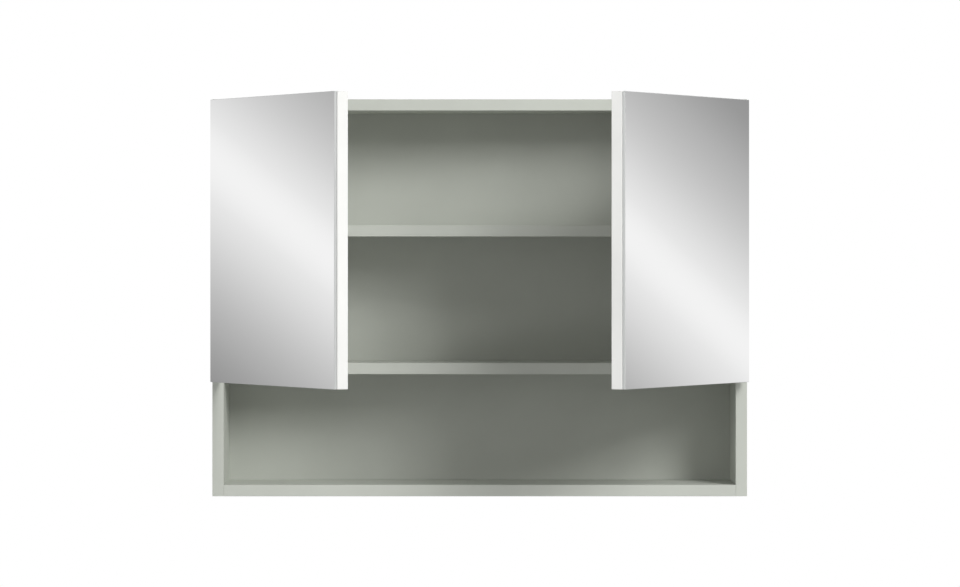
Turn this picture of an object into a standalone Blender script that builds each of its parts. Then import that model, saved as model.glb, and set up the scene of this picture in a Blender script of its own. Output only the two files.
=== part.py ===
"""Wall-hung mirror cabinet: two mirrored doors on concealed four-bar hinges above an open niche.

Metres, +Z up. The origin is on the wall plane, at the middle of the carcass's lower edge.
The front faces -Y. The doors stand part open, at REST_OPENING.
"""

import math

import bmesh
import bpy
from mathutils import Matrix, Vector

# Carcass
WIDTH = 0.800
HEIGHT = 0.594
DEPTH = 0.162
BOARD = 0.017
NICHE_HEIGHT = 0.1656
SHELF_HEIGHT = 0.3886
SHELF_SETBACK = 0.0015
SHELF_SIDE_PLAY = 0.0008
BACK_THICKNESS = 0.003
BACK_RECESS = 0.012
GROOVE_DEPTH = 0.005
EDGE_ROUND = 0.0005
SEAT_GAP = 0.0003

# Dowels that hold the carcass boards, and pins under the shelf
DOWEL_RADIUS = 0.004
DOWEL_LENGTH = 0.030
DOWEL_IN_SIDE = 0.010
DOWEL_INSET = 0.030
PIN_RADIUS = 0.0025
PIN_COLLAR_RADIUS = 0.0035
PIN_DEPTH = 0.008
PIN_REACH = 0.009
PIN_INSET = 0.030
PIN_PITCH = 0.032

# Doors
DOOR_TOP_REVEAL = 0.0015
DOOR_OVERHANG = 0.0111
DOOR_REVEAL = 0.0026
DOOR_CENTRE_GAP = 0.002
DOOR_GAP = 0.0025
DOOR_PANEL = 0.017
MIRROR_FILM = 0.0004
MIRROR_GLASS = 0.004
FILM_MARGIN = 0.0004
BUMPER_RADIUS = 0.004
BUMPER_HEIGHT = 0.0018
BUMPER_INSET = 0.022
REST_OPENING = math.radians(60.2)

# Hinges. Their points are (across from the door's hinge edge, back from the door's inner face),
# with the door shut. The links turn at a constant share of the door's own turn.
HINGE_FROM_END = 0.080
LONG_LINK_ARM_PIN = Vector((0.0443, 0.0101))
LONG_LINK_CUP_PIN = Vector((0.0098, -0.0019))
SHORT_LINK_ARM_PIN = Vector((0.0323, -0.0031))
SHORT_LINK_CUP_PIN = Vector((0.0109, -0.0048))
SHORT_LINK_EYE = Vector((0.0108, -0.0052))
LONG_LINK_KNEE = Vector((0.0168, -0.0026))
SHORT_LINK_KNEE = Vector((0.0192, -0.0095))
LONG_LINK_SHARE = 0.40
SHORT_LINK_SHARE = 0.58
LONG_LINK_TAIL = 0.0062
HINGE_PIN_RADIUS = 0.0008
PIN_CLEARANCE = 0.00015
EYE_PLAY = 0.0007
LINK_PLATE = 0.0012
LEVEL_GAP = 0.0004
NOSE_HALF = 0.0022
CUP_RADIUS = 0.0175
CUP_EDGE_DISTANCE = 0.003
CUP_DEPTH = 0.0132
CUP_WALL = 0.001
CUP_FILLET = 0.002
FLANGE_THICKNESS = 0.001
FLANGE_LIP = 0.0014
FLANGE_HALF_LENGTH = 0.031
FLANGE_HALF_WIDTH = 0.010
FLANGE_OFFSET = 0.006
FLANGE_HOLE_SPACING = 0.048
SCREW_HOLE_RADIUS = 0.0021
ARM_HALF = 0.007
ARM_NECK_HALF = 0.0046
ARM_ROUND = 0.003
ARM_SHEET = 0.0015
ARM_WEB = 0.002
ARM_LENGTH = 0.060
ARM_START = 0.024
ARM_SHOULDER = 0.012
ARM_BEND = 0.0055
ARM_RISE = 0.006
ARM_SCREW_RADIUS = 0.0022
ARM_SCREW_LINES = (0.028, 0.042)
ARM_SLOT_LENGTH = 0.006
RAIL_HEIGHT = 0.0108
RAIL_LENGTH = 0.050
PLATE_SCREW_LINE = 0.037
PLATE_WING_HALF = 0.023
PLATE_WING_WIDTH = 0.014
PLATE_WING_THICKNESS = 0.0025
PLATE_HOLE_SPACING = 0.032

# Cabinet hangers in the top rear corners
HANGER_WIDTH = 0.018
HANGER_DEPTH = 0.046
HANGER_HEIGHT = 0.060
HANGER_DROP = 0.004
HANGER_ROUND = 0.002
HANGER_SCREW_RADIUS = 0.0034
HANGER_SCREW_DEPTH = 0.004
HANGER_SCREW_SPACING = 0.030
HOOK_THICKNESS = 0.003
HOOK_HEIGHT = 0.020
HOOK_SEAT_DROP = 0.008
HOOK_LIP = 0.002
HOOK_REACH = 0.030
HOOK_WALL_GAP = 0.001
CUTOUT_MARGIN = 0.003

# Derived places
FRONT = -DEPTH
BACK_FACE = -BACK_RECESS - BACK_THICKNESS
INNER_HALF = WIDTH / 2 - BOARD
FLOOR_LOW = BOARD + NICHE_HEIGHT
FLOOR_TOP = FLOOR_LOW + BOARD
CEILING = HEIGHT - BOARD
DOOR_LOW = FLOOR_LOW - DOOR_OVERHANG
DOOR_TOP = HEIGHT - DOOR_TOP_REVEAL
DOOR_WIDTH = WIDTH / 2 - DOOR_REVEAL - DOOR_CENTRE_GAP / 2
DOOR_FACE = FRONT - DOOR_GAP
HINGE_HEIGHTS = {"upper": DOOR_TOP - HINGE_FROM_END, "lower": DOOR_LOW + HINGE_FROM_END}
SIDE_FACE = BOARD - DOOR_REVEAL
FRONT_LINE = DOOR_GAP
SIDES = {"left": -1, "right": 1}
SHORT_LINK_HALF = NOSE_HALF + LEVEL_GAP + LINK_PLATE
LONG_LINK_SLOT = SHORT_LINK_HALF + LEVEL_GAP
LONG_LINK_HALF = LONG_LINK_SLOT + LINK_PLATE

FINE = 16
PIN_SIDES = 12
CUP_SIDES = 40
CAP_STEPS = 6
FINE_CAP_STEPS = 12

for old in list(bpy.data.objects):
    bpy.data.objects.remove(old, do_unlink=True)

parts = bpy.data.collections.new("mirror_cabinet")
cutters = bpy.data.collections.new("cutters")
bpy.context.scene.collection.children.link(parts)
bpy.context.scene.collection.children.link(cutters)


def material(name, colour, roughness, metallic=0.0):
    """A plain Principled material."""
    made = bpy.data.materials.new(name)
    made.use_nodes = True
    shader = made.node_tree.nodes["Principled BSDF"]
    shader.inputs["Base Color"].default_value = (*colour, 1.0)
    shader.inputs["Roughness"].default_value = roughness
    shader.inputs["Metallic"].default_value = metallic
    return made


SAGE = material("sage_laminate", (0.50, 0.53, 0.47), 0.55)
SAGE_BACK = material("sage_back_board", (0.46, 0.49, 0.43), 0.6)
WHITE = material("off_white_door", (0.86, 0.86, 0.82), 0.45)
SILVER = material("mirror_silver", (0.90, 0.91, 0.91), 0.03, 1.0)
FILM = material("mirror_film", (0.30, 0.31, 0.31), 0.7)
NICKEL = material("nickel_plate", (0.62, 0.61, 0.58), 0.3, 1.0)
ZINC = material("zinc_plate", (0.55, 0.56, 0.57), 0.4, 1.0)
PLASTIC = material("white_plastic", (0.80, 0.80, 0.78), 0.5)
CLEAR = material("soft_bumper", (0.75, 0.76, 0.74), 0.35)
BEECH = material("beech_dowel", (0.55, 0.40, 0.25), 0.7)


def add_object(name, mesh, look, parent=None, location=(0, 0, 0)):
    """A part from a mesh, under its pivot where it has one."""
    made = bpy.data.objects.new(name, mesh)
    mesh.materials.append(look)
    parts.objects.link(made)
    made.parent = parent
    made.location = location
    return made


def add_cutter(mesh, target):
    """A hidden helper solid that moves with the part it shapes."""
    made = bpy.data.objects.new(target.name + "_tool", mesh)
    cutters.objects.link(made)
    made.parent = target.parent
    made.location = target.location
    made.hide_render = True
    made.display_type = "WIRE"
    return made


def shape_with(target, mesh, operation="DIFFERENCE"):
    """Cut a solid out of a part, or join it on."""
    step = target.modifiers.new(operation.lower(), "BOOLEAN")
    step.operation = operation
    step.object = add_cutter(mesh, target)
    step.solver = "EXACT"


def mesh_from(shape, name):
    """Turn a bmesh into a mesh with outward faces."""
    bmesh.ops.recalc_face_normals(shape, faces=shape.faces)
    made = bpy.data.meshes.new(name)
    shape.to_mesh(made)
    shape.free()
    return made


def block(low, high, round_edges=None):
    """A box between two corners. round_edges is None, "front" for the long front edges, or "all"."""
    low, high = Vector(low), Vector(high)
    long = max(high - low) / 2
    shape = bmesh.new()
    bmesh.ops.create_cube(shape, size=1.0)
    bmesh.ops.scale(shape, vec=high - low, verts=shape.verts)
    bmesh.ops.translate(shape, vec=(high + low) / 2, verts=shape.verts)
    if round_edges:
        edges = [
            edge for edge in shape.edges
            if round_edges == "all"
            or edge.calc_length() > long and all(vert.co.y < low.y + EDGE_ROUND for vert in edge.verts)
        ]
        bmesh.ops.bevel(
            shape, geom=edges, offset=EDGE_ROUND, segments=1, profile=0.5, affect="EDGES", material=-1
        )
    return mesh_from(shape, "block")


def rod(start, end, radius, sides=PIN_SIDES, end_radius=None):
    """A closed cylinder or cone between two points."""
    start, end = Vector(start), Vector(end)
    shape = bmesh.new()
    turn = (end - start).to_track_quat("Z", "Y").to_matrix().to_4x4()
    bmesh.ops.create_cone(
        shape, cap_ends=True, segments=sides, radius1=radius,
        radius2=radius if end_radius is None else end_radius,
        depth=(end - start).length, matrix=Matrix.Translation((start + end) / 2) @ turn,
    )
    return mesh_from(shape, "rod")


def turned(foot, outline, sides):
    """A closed solid turned about the depth axis through foot; outline is a radius and depth per ring."""
    shape = bmesh.new()
    points = [shape.verts.new((foot[0] + radius, foot[1] + level, foot[2])) for radius, level in outline]
    lines = [shape.edges.new(pair) for pair in zip(points, points[1:])]
    bmesh.ops.spin(
        shape, geom=points + lines, cent=foot, axis=(0, 1, 0), angle=2 * math.pi, steps=sides, use_merge=True
    )
    bmesh.ops.holes_fill(shape, edges=[edge for edge in shape.edges if edge.is_boundary], sides=0)
    bmesh.ops.recalc_face_normals(shape, faces=shape.faces)
    return mesh_from(shape, "turned")


def circle(centre, radius, sides=PIN_SIDES):
    """Points round a circle in the plane."""
    turns = (2 * math.pi * step / sides for step in range(sides))
    return [Vector((centre[0] + radius * math.cos(a), centre[1] + radius * math.sin(a))) for a in turns]


def arc(centre, radius, start, end, steps=CAP_STEPS):
    """Points along an arc from one angle to another, in degrees."""
    turns = (math.radians(start + (end - start) * step / steps) for step in range(steps + 1))
    return [Vector((centre[0] + radius * math.cos(a), centre[1] + radius * math.sin(a))) for a in turns]


def strip(path, halves, steps=CAP_STEPS):
    """Outline of a bent strip with round ends; halves gives its half width at each point of the path."""
    def heading(first, second):
        return math.degrees(math.atan2(second[1] - first[1], second[0] - first[0]))

    count = len(path)
    first = heading(path[0], path[1])
    last = heading(path[-2], path[-1])
    right, left = [], []
    for place in range(1, count - 1):
        before = heading(path[place - 1], path[place])
        after = heading(path[place], path[place + 1])
        bend = math.radians((after - before + 180) % 360 - 180) / 2
        normal = math.radians(before + 90) + bend
        reach = halves[place] / math.cos(bend)
        offset = Vector((math.cos(normal), math.sin(normal))) * reach
        left.append(path[place] + offset)
        right.append(path[place] - offset)
    return (
        arc(path[0], halves[0], first + 90, first + 270, steps) + right
        + arc(path[-1], halves[-1], last - 90, last + 90, steps) + left[::-1]
    )


def plate(outlines, low, high):
    """A flat plate from an outline and its holes, between two heights."""
    flat = bpy.data.curves.new("outline", "CURVE")
    flat.dimensions = "2D"
    flat.fill_mode = "BOTH"
    flat.extrude = (high - low) / 2
    for points in outlines:
        line = flat.splines.new("POLY")
        line.points.add(len(points) - 1)
        for place, point in zip(line.points, points):
            place.co = (point[0], point[1], 0, 1)
        line.use_cyclic_u = True
    drawn = bpy.data.objects.new("outline", flat)
    cutters.objects.link(drawn)
    view = bpy.context.evaluated_depsgraph_get()
    raw = bpy.data.meshes.new_from_object(drawn.evaluated_get(view))
    bpy.data.objects.remove(drawn, do_unlink=True)
    shape = bmesh.new()
    shape.from_mesh(raw)
    bmesh.ops.remove_doubles(shape, verts=shape.verts, dist=1e-6)
    bmesh.ops.translate(shape, vec=(0, 0, (low + high) / 2), verts=shape.verts)
    return mesh_from(shape, "plate")


def upright(mesh, back):
    """Stand a flat plate up in the door's plane, its low side facing the wall at the given depth."""
    mesh.transform(Matrix.Translation((0, back, 0)) @ Matrix.Rotation(math.pi / 2, 4, "X"))
    return mesh


def side_plate(outlines, side, low, high):
    """A plate flat to a side panel: outlines in depth and height, low and high from the hinge edge."""
    sheet = plate(outlines, low, high)
    edge = side * (WIDTH / 2 - DOOR_REVEAL)
    sheet.transform(Matrix(((0, 0, -side, edge), (1, 0, 0, 0), (0, 1, 0, 0), (0, 0, 0, 1))))
    if side > 0:
        sheet.flip_normals()
    return sheet


def smooth(made, angle=40):
    """Shade round faces smooth and keep real edges sharp."""
    made.data.shade_smooth()
    made.data.set_sharp_from_angle(angle=math.radians(angle))


class Pivot:
    """An empty on a joint's axis; its children are drawn with the door shut."""

    def __init__(self, name, side, point, turn=0.0, parent=None):
        self.place = shut_point(side, point)
        self.empty = bpy.data.objects.new(name, None)
        parts.objects.link(self.empty)
        start = Vector((0, 0))
        if parent:
            self.empty.parent = parent.empty
            start = parent.place
        offset = self.place - start
        self.empty.location = (offset.x, offset.y, 0)
        self.empty.rotation_euler = (0, 0, turn)


def shut_point(side, point):
    """World X and Y of a hinge point with the door shut."""
    return Vector((side * (WIDTH / 2 - DOOR_REVEAL - point[0]), DOOR_FACE + point[1]))


def build_carcass_boards():
    """Sides, top, bottom and compartment floor, dowelled together, with a grooved-in back panel."""
    boards = {}
    for label, side in SIDES.items():
        outer, inner = sorted((side * WIDTH / 2, side * INNER_HALF))
        boards[label] = add_object(
            f"{label}_side_panel", block((outer, FRONT, 0), (inner, 0, HEIGHT), "front"), SAGE
        )
    half = INNER_HALF - SEAT_GAP
    levels = {
        "top": ("top_panel", CEILING, 0),
        "bottom": ("bottom_panel", 0, 0),
        "floor": ("compartment_floor", FLOOR_LOW, BACK_FACE - SEAT_GAP),
    }
    for label, (name, low, back) in levels.items():
        boards[label] = add_object(
            name, block((-half, FRONT, low), (half, back, low + BOARD), "front"), SAGE
        )
    groove = {
        "low": BOARD - GROOVE_DEPTH,
        "high": CEILING + GROOVE_DEPTH,
        "half": INNER_HALF + GROOVE_DEPTH,
        "front": BACK_FACE - SEAT_GAP,
        "back": -BACK_RECESS + SEAT_GAP,
    }
    for label in ("left", "right", "top", "bottom"):
        cut = block(
            (-groove["half"], groove["front"], groove["low"]),
            (groove["half"], groove["back"], groove["high"]),
        )
        shape_with(boards[label], cut)
    for label, (name, low, back) in levels.items():
        middle = low + BOARD / 2
        for side_label, side in SIDES.items():
            for row, depth in {"front": FRONT + DOWEL_INSET, "rear": BACK_FACE - DOWEL_INSET}.items():
                inside = side * (INNER_HALF + DOWEL_IN_SIDE)
                tip = inside - side * DOWEL_LENGTH
                dowel = rod((inside, depth, middle), (tip, depth, middle), DOWEL_RADIUS, FINE)
                smooth(add_object(f"dowel_{label}_{side_label}_{row}", dowel, BEECH))
                for target in (label, side_label):
                    hole = rod(
                        (inside + side * SEAT_GAP, depth, middle), (tip - side * SEAT_GAP, depth, middle),
                        DOWEL_RADIUS + SEAT_GAP, FINE,
                    )
                    shape_with(boards[target], hole)
    return boards


def build_back_panel():
    """Thin back board, seated in the grooves and cut out behind each hanger."""
    half = INNER_HALF + GROOVE_DEPTH - SEAT_GAP
    low = BOARD - GROOVE_DEPTH + SEAT_GAP
    high = CEILING + GROOVE_DEPTH - SEAT_GAP
    outline = [Vector((-half, low)), Vector((half, low)), Vector((half, high)), Vector((-half, high))]
    holes = []
    for side in SIDES.values():
        across, height = hook_place(side)
        wide = HOOK_THICKNESS / 2 + CUTOUT_MARGIN
        tall = HOOK_HEIGHT / 2 + CUTOUT_MARGIN
        holes.append([
            Vector((across - wide, height - tall)), Vector((across + wide, height - tall)),
            Vector((across + wide, height + tall)), Vector((across - wide, height + tall)),
        ])
    mesh = upright(plate([outline] + holes, 0, BACK_THICKNESS), -BACK_RECESS)
    add_object("back_panel", mesh, SAGE_BACK)


def build_shelf(boards):
    """Loose shelf on four pins, in rows of holes that let it move up or down."""
    half = INNER_HALF - SHELF_SIDE_PLAY
    shelf = block(
        (-half, FRONT + SHELF_SETBACK, SHELF_HEIGHT),
        (half, BACK_FACE - SEAT_GAP, SHELF_HEIGHT + BOARD),
        "front",
    )
    add_object("adjustable_shelf", shelf, SAGE)
    height = SHELF_HEIGHT - SEAT_GAP - PIN_COLLAR_RADIUS
    for label, side in SIDES.items():
        face = side * INNER_HALF
        for row, depth in {"front": FRONT + PIN_INSET, "rear": BACK_FACE - PIN_INSET}.items():
            pin = rod(
                (face + side * (PIN_DEPTH - SEAT_GAP), depth, height),
                (face - side * PIN_REACH / 2, depth, height),
                PIN_RADIUS,
            )
            made = add_object(f"shelf_pin_{label}_{row}", pin, NICKEL)
            collar = rod(
                (face - side * SEAT_GAP, depth, height), (face - side * PIN_REACH, depth, height),
                PIN_COLLAR_RADIUS,
            )
            shape_with(made, collar, "UNION")
            smooth(made)
            for step in (-1, 0, 1):
                level = height + step * PIN_PITCH
                hole = rod(
                    (face + side * PIN_DEPTH, depth, level), (face - side * PIN_DEPTH, depth, level),
                    PIN_RADIUS + SEAT_GAP,
                )
                shape_with(boards[label], hole)


def hook_place(side):
    """X and Z of the middle of a hanger's hook."""
    across = side * (INNER_HALF - SEAT_GAP - HANGER_WIDTH / 2)
    height = CEILING - HANGER_DROP - HANGER_HEIGHT / 2
    return across, height


def build_hangers():
    """Plastic hanger housings in the top rear corners, each with a steel hook through the back panel."""
    rear = BACK_FACE - SEAT_GAP
    for label, side in SIDES.items():
        across, height = hook_place(side)
        low = (across - HANGER_WIDTH / 2, rear - HANGER_DEPTH, height - HANGER_HEIGHT / 2)
        high = (across + HANGER_WIDTH / 2, rear, height + HANGER_HEIGHT / 2)
        housing = add_object(f"{label}_hanger_housing", block(low, high), PLASTIC)
        rounding = housing.modifiers.new("rounded", "BEVEL")
        rounding.width = HANGER_ROUND
        rounding.segments = 2
        half = HOOK_THICKNESS / 2
        top = height + HOOK_HEIGHT / 2
        bottom = height - HOOK_HEIGHT / 2
        slot = block(
            (across - half - SEAT_GAP, rear - HOOK_REACH - SEAT_GAP, bottom - SEAT_GAP),
            (across + half + SEAT_GAP, rear + HANGER_DEPTH, top + SEAT_GAP),
        )
        shape_with(housing, slot)
        face = rear - HANGER_DEPTH
        for way in (-1, 1):
            level = height + way * HANGER_SCREW_SPACING / 2
            recess = rod(
                (across, face - HANGER_SCREW_DEPTH, level), (across, face + HANGER_SCREW_DEPTH, level),
                HANGER_SCREW_RADIUS, FINE,
            )
            shape_with(housing, recess)
        hook = block((across - half, rear - HOOK_REACH, bottom), (across + half, -HOOK_WALL_GAP, top))
        made = add_object(f"{label}_hanger_hook", hook, ZINC)
        catch = block(
            (across - HOOK_THICKNESS, -BACK_RECESS + SEAT_GAP, bottom - SEAT_GAP),
            (across + HOOK_THICKNESS, -HOOK_WALL_GAP - HOOK_LIP, bottom + HOOK_SEAT_DROP),
        )
        shape_with(made, catch)


def build_door(label, side, pivot):
    """Door panel bored for its two cups, with a mirror bonded on its face and two bumpers behind."""
    def corners(across, depth, height):
        ends = [side * (WIDTH / 2 - DOOR_REVEAL - place) - pivot.place.x for place in across]
        backs = [DOOR_FACE + place - pivot.place.y for place in depth]
        return (min(ends), backs[0], height[0]), (max(ends), backs[1], height[1])

    film_front = -DOOR_PANEL - SEAT_GAP - MIRROR_FILM
    glass_back = film_front - SEAT_GAP
    panel = add_object(
        f"{label}_door_panel",
        block(*corners((0, DOOR_WIDTH), (-DOOR_PANEL, 0), (DOOR_LOW, DOOR_TOP)), "all"), WHITE, pivot.empty,
    )
    cup_across = CUP_EDGE_DISTANCE + CUP_RADIUS
    for height in HINGE_HEIGHTS.values():
        centre = shut_point(side, (cup_across, 0)) - pivot.place
        bore = rod(
            (centre.x, centre.y - CUP_DEPTH - SEAT_GAP, height), (centre.x, centre.y + CUP_DEPTH, height),
            CUP_RADIUS + SEAT_GAP, CUP_SIDES,
        )
        shape_with(panel, bore)
    film = corners(
        (FILM_MARGIN, DOOR_WIDTH - FILM_MARGIN), (film_front, film_front + MIRROR_FILM),
        (DOOR_LOW + FILM_MARGIN, DOOR_TOP - FILM_MARGIN),
    )
    add_object(f"{label}_mirror_film", block(*film), FILM, pivot.empty)
    glass = corners((0, DOOR_WIDTH), (glass_back - MIRROR_GLASS, glass_back), (DOOR_LOW, DOOR_TOP))
    add_object(f"{label}_mirror", block(*glass, "all"), SILVER, pivot.empty)
    for row, height in {"upper": CEILING + BOARD / 2, "lower": FLOOR_LOW + BOARD / 2}.items():
        centre = shut_point(side, (DOOR_WIDTH - BUMPER_INSET, SEAT_GAP)) - pivot.place
        bumper = rod(
            (centre.x, centre.y, height), (centre.x, centre.y + BUMPER_HEIGHT, height),
            BUMPER_RADIUS, FINE, BUMPER_RADIUS - BUMPER_HEIGHT / 2,
        )
        smooth(add_object(f"{label}_{row}_bumper", bumper, CLEAR, pivot.empty), 60)


def drawn(side, outline, pivot=None):
    """Hinge outline points in a pivot's own plane."""
    origin = pivot.place if pivot else Vector((0, 0))
    return [shut_point(side, point) - origin for point in outline]


def build_links(prefix, side, height, long_pivot, short_pivot):
    """Forked long link that carries the cup, and the short link that steers it."""
    along = (LONG_LINK_ARM_PIN - LONG_LINK_KNEE).normalized()
    tail = LONG_LINK_ARM_PIN + along * LONG_LINK_TAIL
    bore = HINGE_PIN_RADIUS + PIN_CLEARANCE
    long_path = [LONG_LINK_CUP_PIN, LONG_LINK_KNEE, LONG_LINK_ARM_PIN, tail]
    eye = bore + HINGE_PIN_RADIUS * 0.8
    outline = strip(long_path, [eye, eye, 3 * HINGE_PIN_RADIUS, 2.5 * HINGE_PIN_RADIUS])
    holes = [circle(LONG_LINK_CUP_PIN, bore), circle(LONG_LINK_ARM_PIN, bore)]
    outlines = [drawn(side, line, long_pivot) for line in [outline] + holes]
    solid = plate(outlines, -LONG_LINK_HALF, LONG_LINK_HALF)
    link = add_object(f"{prefix}_long_link", solid, NICKEL, long_pivot.empty, (0, 0, height))
    slot_half = 4 * HINGE_PIN_RADIUS
    toe = LONG_LINK_CUP_PIN + (LONG_LINK_CUP_PIN - LONG_LINK_KNEE).normalized() * slot_half
    heel = LONG_LINK_ARM_PIN + along * (LONG_LINK_TAIL - slot_half - HINGE_PIN_RADIUS)
    slot = strip([toe, LONG_LINK_KNEE, heel], [slot_half] * 3)
    shape_with(link, plate([drawn(side, slot, long_pivot)], -LONG_LINK_SLOT, LONG_LINK_SLOT))

    play = HINGE_PIN_RADIUS + EYE_PLAY
    width = 2.3 * HINGE_PIN_RADIUS
    path = [SHORT_LINK_EYE, SHORT_LINK_KNEE, SHORT_LINK_ARM_PIN]
    outline = strip(path, [play + HINGE_PIN_RADIUS, width, width])
    holes = [circle(SHORT_LINK_EYE, play), circle(SHORT_LINK_ARM_PIN, bore)]
    outlines = [drawn(side, line, short_pivot) for line in [outline] + holes]
    solid = plate(outlines, -SHORT_LINK_HALF, SHORT_LINK_HALF)
    link = add_object(f"{prefix}_short_link", solid, NICKEL, short_pivot.empty, (0, 0, height))
    along = (SHORT_LINK_ARM_PIN - SHORT_LINK_KNEE).normalized()
    slot = strip(
        [SHORT_LINK_ARM_PIN + along * slot_half, SHORT_LINK_ARM_PIN - along * HINGE_PIN_RADIUS],
        [slot_half] * 2,
    )
    inner = NOSE_HALF + LEVEL_GAP
    shape_with(link, plate([drawn(side, slot, short_pivot)], -inner, inner))


def build_cup(prefix, side, height, pivot):
    """Round cup with a screw flange; it holds two stub pins for the long link and a pin for the short one."""
    centre = Vector((CUP_EDGE_DISTANCE + CUP_RADIUS, 0))
    middle = shut_point(side, centre) - pivot.place
    flange_middle = Vector((middle.x - side * FLANGE_OFFSET, 0))
    ends = FLANGE_HALF_LENGTH - FLANGE_HALF_WIDTH
    wings = strip(
        [Vector((flange_middle.x, -ends)), Vector((flange_middle.x, ends))],
        [FLANGE_HALF_WIDTH] * 2, FINE_CAP_STEPS,
    )
    holes = [
        circle((flange_middle.x, place * FLANGE_HOLE_SPACING / 2), SCREW_HOLE_RADIUS) for place in (-1, 1)
    ]
    top = middle.y + SEAT_GAP + FLANGE_THICKNESS
    flange = upright(plate([wings] + holes, 0, FLANGE_THICKNESS), top)
    cup = add_object(f"{prefix}_hinge_cup", flange, NICKEL, pivot.empty, (0, 0, height))
    thin = FLANGE_THICKNESS / 4
    lip = rod(
        (middle.x, middle.y + SEAT_GAP + thin, 0), (middle.x, top - thin, 0),
        CUP_RADIUS + FLANGE_LIP, CUP_SIDES,
    )
    shape_with(cup, lip, "UNION")
    body = rod(
        (middle.x, middle.y - CUP_DEPTH, 0), (middle.x, top - FLANGE_THICKNESS / 2, 0), CUP_RADIUS, CUP_SIDES
    )
    shape_with(cup, body, "UNION")
    inner = CUP_RADIUS - CUP_WALL
    floor = CUP_WALL - CUP_DEPTH
    bowl = [(inner - CUP_FILLET, floor), (inner, floor + CUP_FILLET), (inner, CUP_WALL + FLANGE_THICKNESS)]
    shape_with(cup, turned((middle.x, middle.y, 0), bowl, CUP_SIDES))

    def wall_height(point):
        across = centre.x - point.x
        return math.sqrt((CUP_RADIUS - CUP_WALL / 2) ** 2 - across ** 2)

    spot = shut_point(side, SHORT_LINK_CUP_PIN) - pivot.place
    reach = wall_height(SHORT_LINK_CUP_PIN)
    pin = rod((spot.x, spot.y, -reach), (spot.x, spot.y, reach), HINGE_PIN_RADIUS)
    shape_with(cup, pin, "UNION")
    spot = shut_point(side, LONG_LINK_CUP_PIN) - pivot.place
    reach = wall_height(LONG_LINK_CUP_PIN)
    for way in (-1, 1):
        stub = rod(
            (spot.x, spot.y, way * (LONG_LINK_SLOT - LEVEL_GAP / 2)), (spot.x, spot.y, way * reach),
            HINGE_PIN_RADIUS,
        )
        shape_with(cup, stub, "UNION")
    smooth(cup)


def build_arm(prefix, side, height):
    """Channel arm clipped over the mounting plate's rail, with a nose that carries both links' pins."""
    deck = SIDE_FACE + SEAT_GAP + RAIL_HEIGHT + SEAT_GAP
    crown = deck + ARM_WEB
    foot = SIDE_FACE + SEAT_GAP + PLATE_WING_THICKNESS + SEAT_GAP
    back = FRONT_LINE + ARM_START + ARM_LENGTH
    front = FRONT_LINE + ARM_START
    shoulder = front + ARM_SHOULDER
    rise = Vector((LONG_LINK_ARM_PIN.x - ARM_RISE, front - ARM_SHOULDER / 3))
    profile = [
        Vector((foot, back)), Vector((crown, back)), Vector((crown, shoulder)), rise,
        rise - Vector((0.008, 0.002)), Vector((foot, front + 0.008)),
    ]
    body = plate([drawn(side, profile)], -ARM_HALF, ARM_HALF)
    arm = add_object(f"{prefix}_hinge_arm", body, NICKEL, None, (0, 0, height))
    neck_end = DOOR_FACE + front - ARM_SHOULDER
    tail_end = DOOR_FACE + back
    bend = DOOR_FACE + front + ARM_BEND
    narrow = bend - ARM_SHOULDER / 2
    corner = ARM_HALF - ARM_ROUND
    plan = (
        [Vector((neck_end, -ARM_NECK_HALF)), Vector((narrow, -ARM_NECK_HALF)), Vector((bend, -ARM_HALF))]
        + arc((tail_end - ARM_ROUND, -corner), ARM_ROUND, -90, 0)
        + arc((tail_end - ARM_ROUND, corner), ARM_ROUND, 0, 90)
        + [Vector((bend, ARM_HALF)), Vector((narrow, ARM_NECK_HALF)), Vector((neck_end, ARM_NECK_HALF))]
    )
    shape_with(arm, side_plate([plan], side, foot - ARM_SHEET, rise.x + ARM_SHEET), "INTERSECT")
    inner, inner_neck = ARM_HALF - ARM_SHEET, ARM_NECK_HALF - ARM_SHEET
    channel = [
        Vector((bend, -inner)), Vector((tail_end + ARM_SHEET, -inner)), Vector((tail_end + ARM_SHEET, inner)),
        Vector((bend, inner)), Vector((narrow, inner_neck)), Vector((neck_end, inner_neck)),
        Vector((neck_end, -inner_neck)), Vector((narrow, -inner_neck)),
    ]
    shape_with(arm, side_plate([channel], side, foot - ARM_SHEET, deck))
    ramp = [
        Vector((deck - ARM_SHEET, shoulder - ARM_WEB)), Vector((deck, shoulder - ARM_WEB)),
        rise - Vector((0.010, 0.0)), Vector((deck - ARM_SHEET, front - ARM_WEB)),
    ]
    shape_with(arm, plate([drawn(side, ramp)], -inner_neck, inner_neck))
    short, long = SHORT_LINK_ARM_PIN, LONG_LINK_ARM_PIN
    nose_end = 3 * HINGE_PIN_RADIUS
    nose = (
        arc(short, nose_end, 180, 360) + [short + Vector((1.5 * nose_end, 0.0065))]
        + arc(long, 1.2 * nose_end, -70, 80)
        + [rise + Vector((0.0, 0.003)), Vector((crown - ARM_WEB / 4, shoulder + ARM_SHOULDER / 2))]
        + [Vector((deck + ARM_WEB / 4, shoulder + ARM_SHOULDER / 2)), rise - Vector((0.009, 0.0))]
        + [short + Vector((-nose_end, 0.007))]
    )
    shape_with(arm, plate([drawn(side, nose)], -NOSE_HALF, NOSE_HALF), "UNION")
    for spot, reach in ((short, SHORT_LINK_HALF), (long, LONG_LINK_HALF)):
        place = shut_point(side, spot)
        pin = rod((place.x, place.y, -reach), (place.x, place.y, reach), HINGE_PIN_RADIUS)
        shape_with(arm, pin, "UNION")
    for line in ARM_SCREW_LINES:
        start = Vector((DOOR_FACE + front + line, 0))
        slot = strip([start, start + Vector((ARM_SLOT_LENGTH, 0))], [ARM_SCREW_RADIUS] * 2)
        shape_with(arm, side_plate([slot], side, deck - ARM_SHEET / 2, crown + ARM_SHEET))
    smooth(arm)


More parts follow.
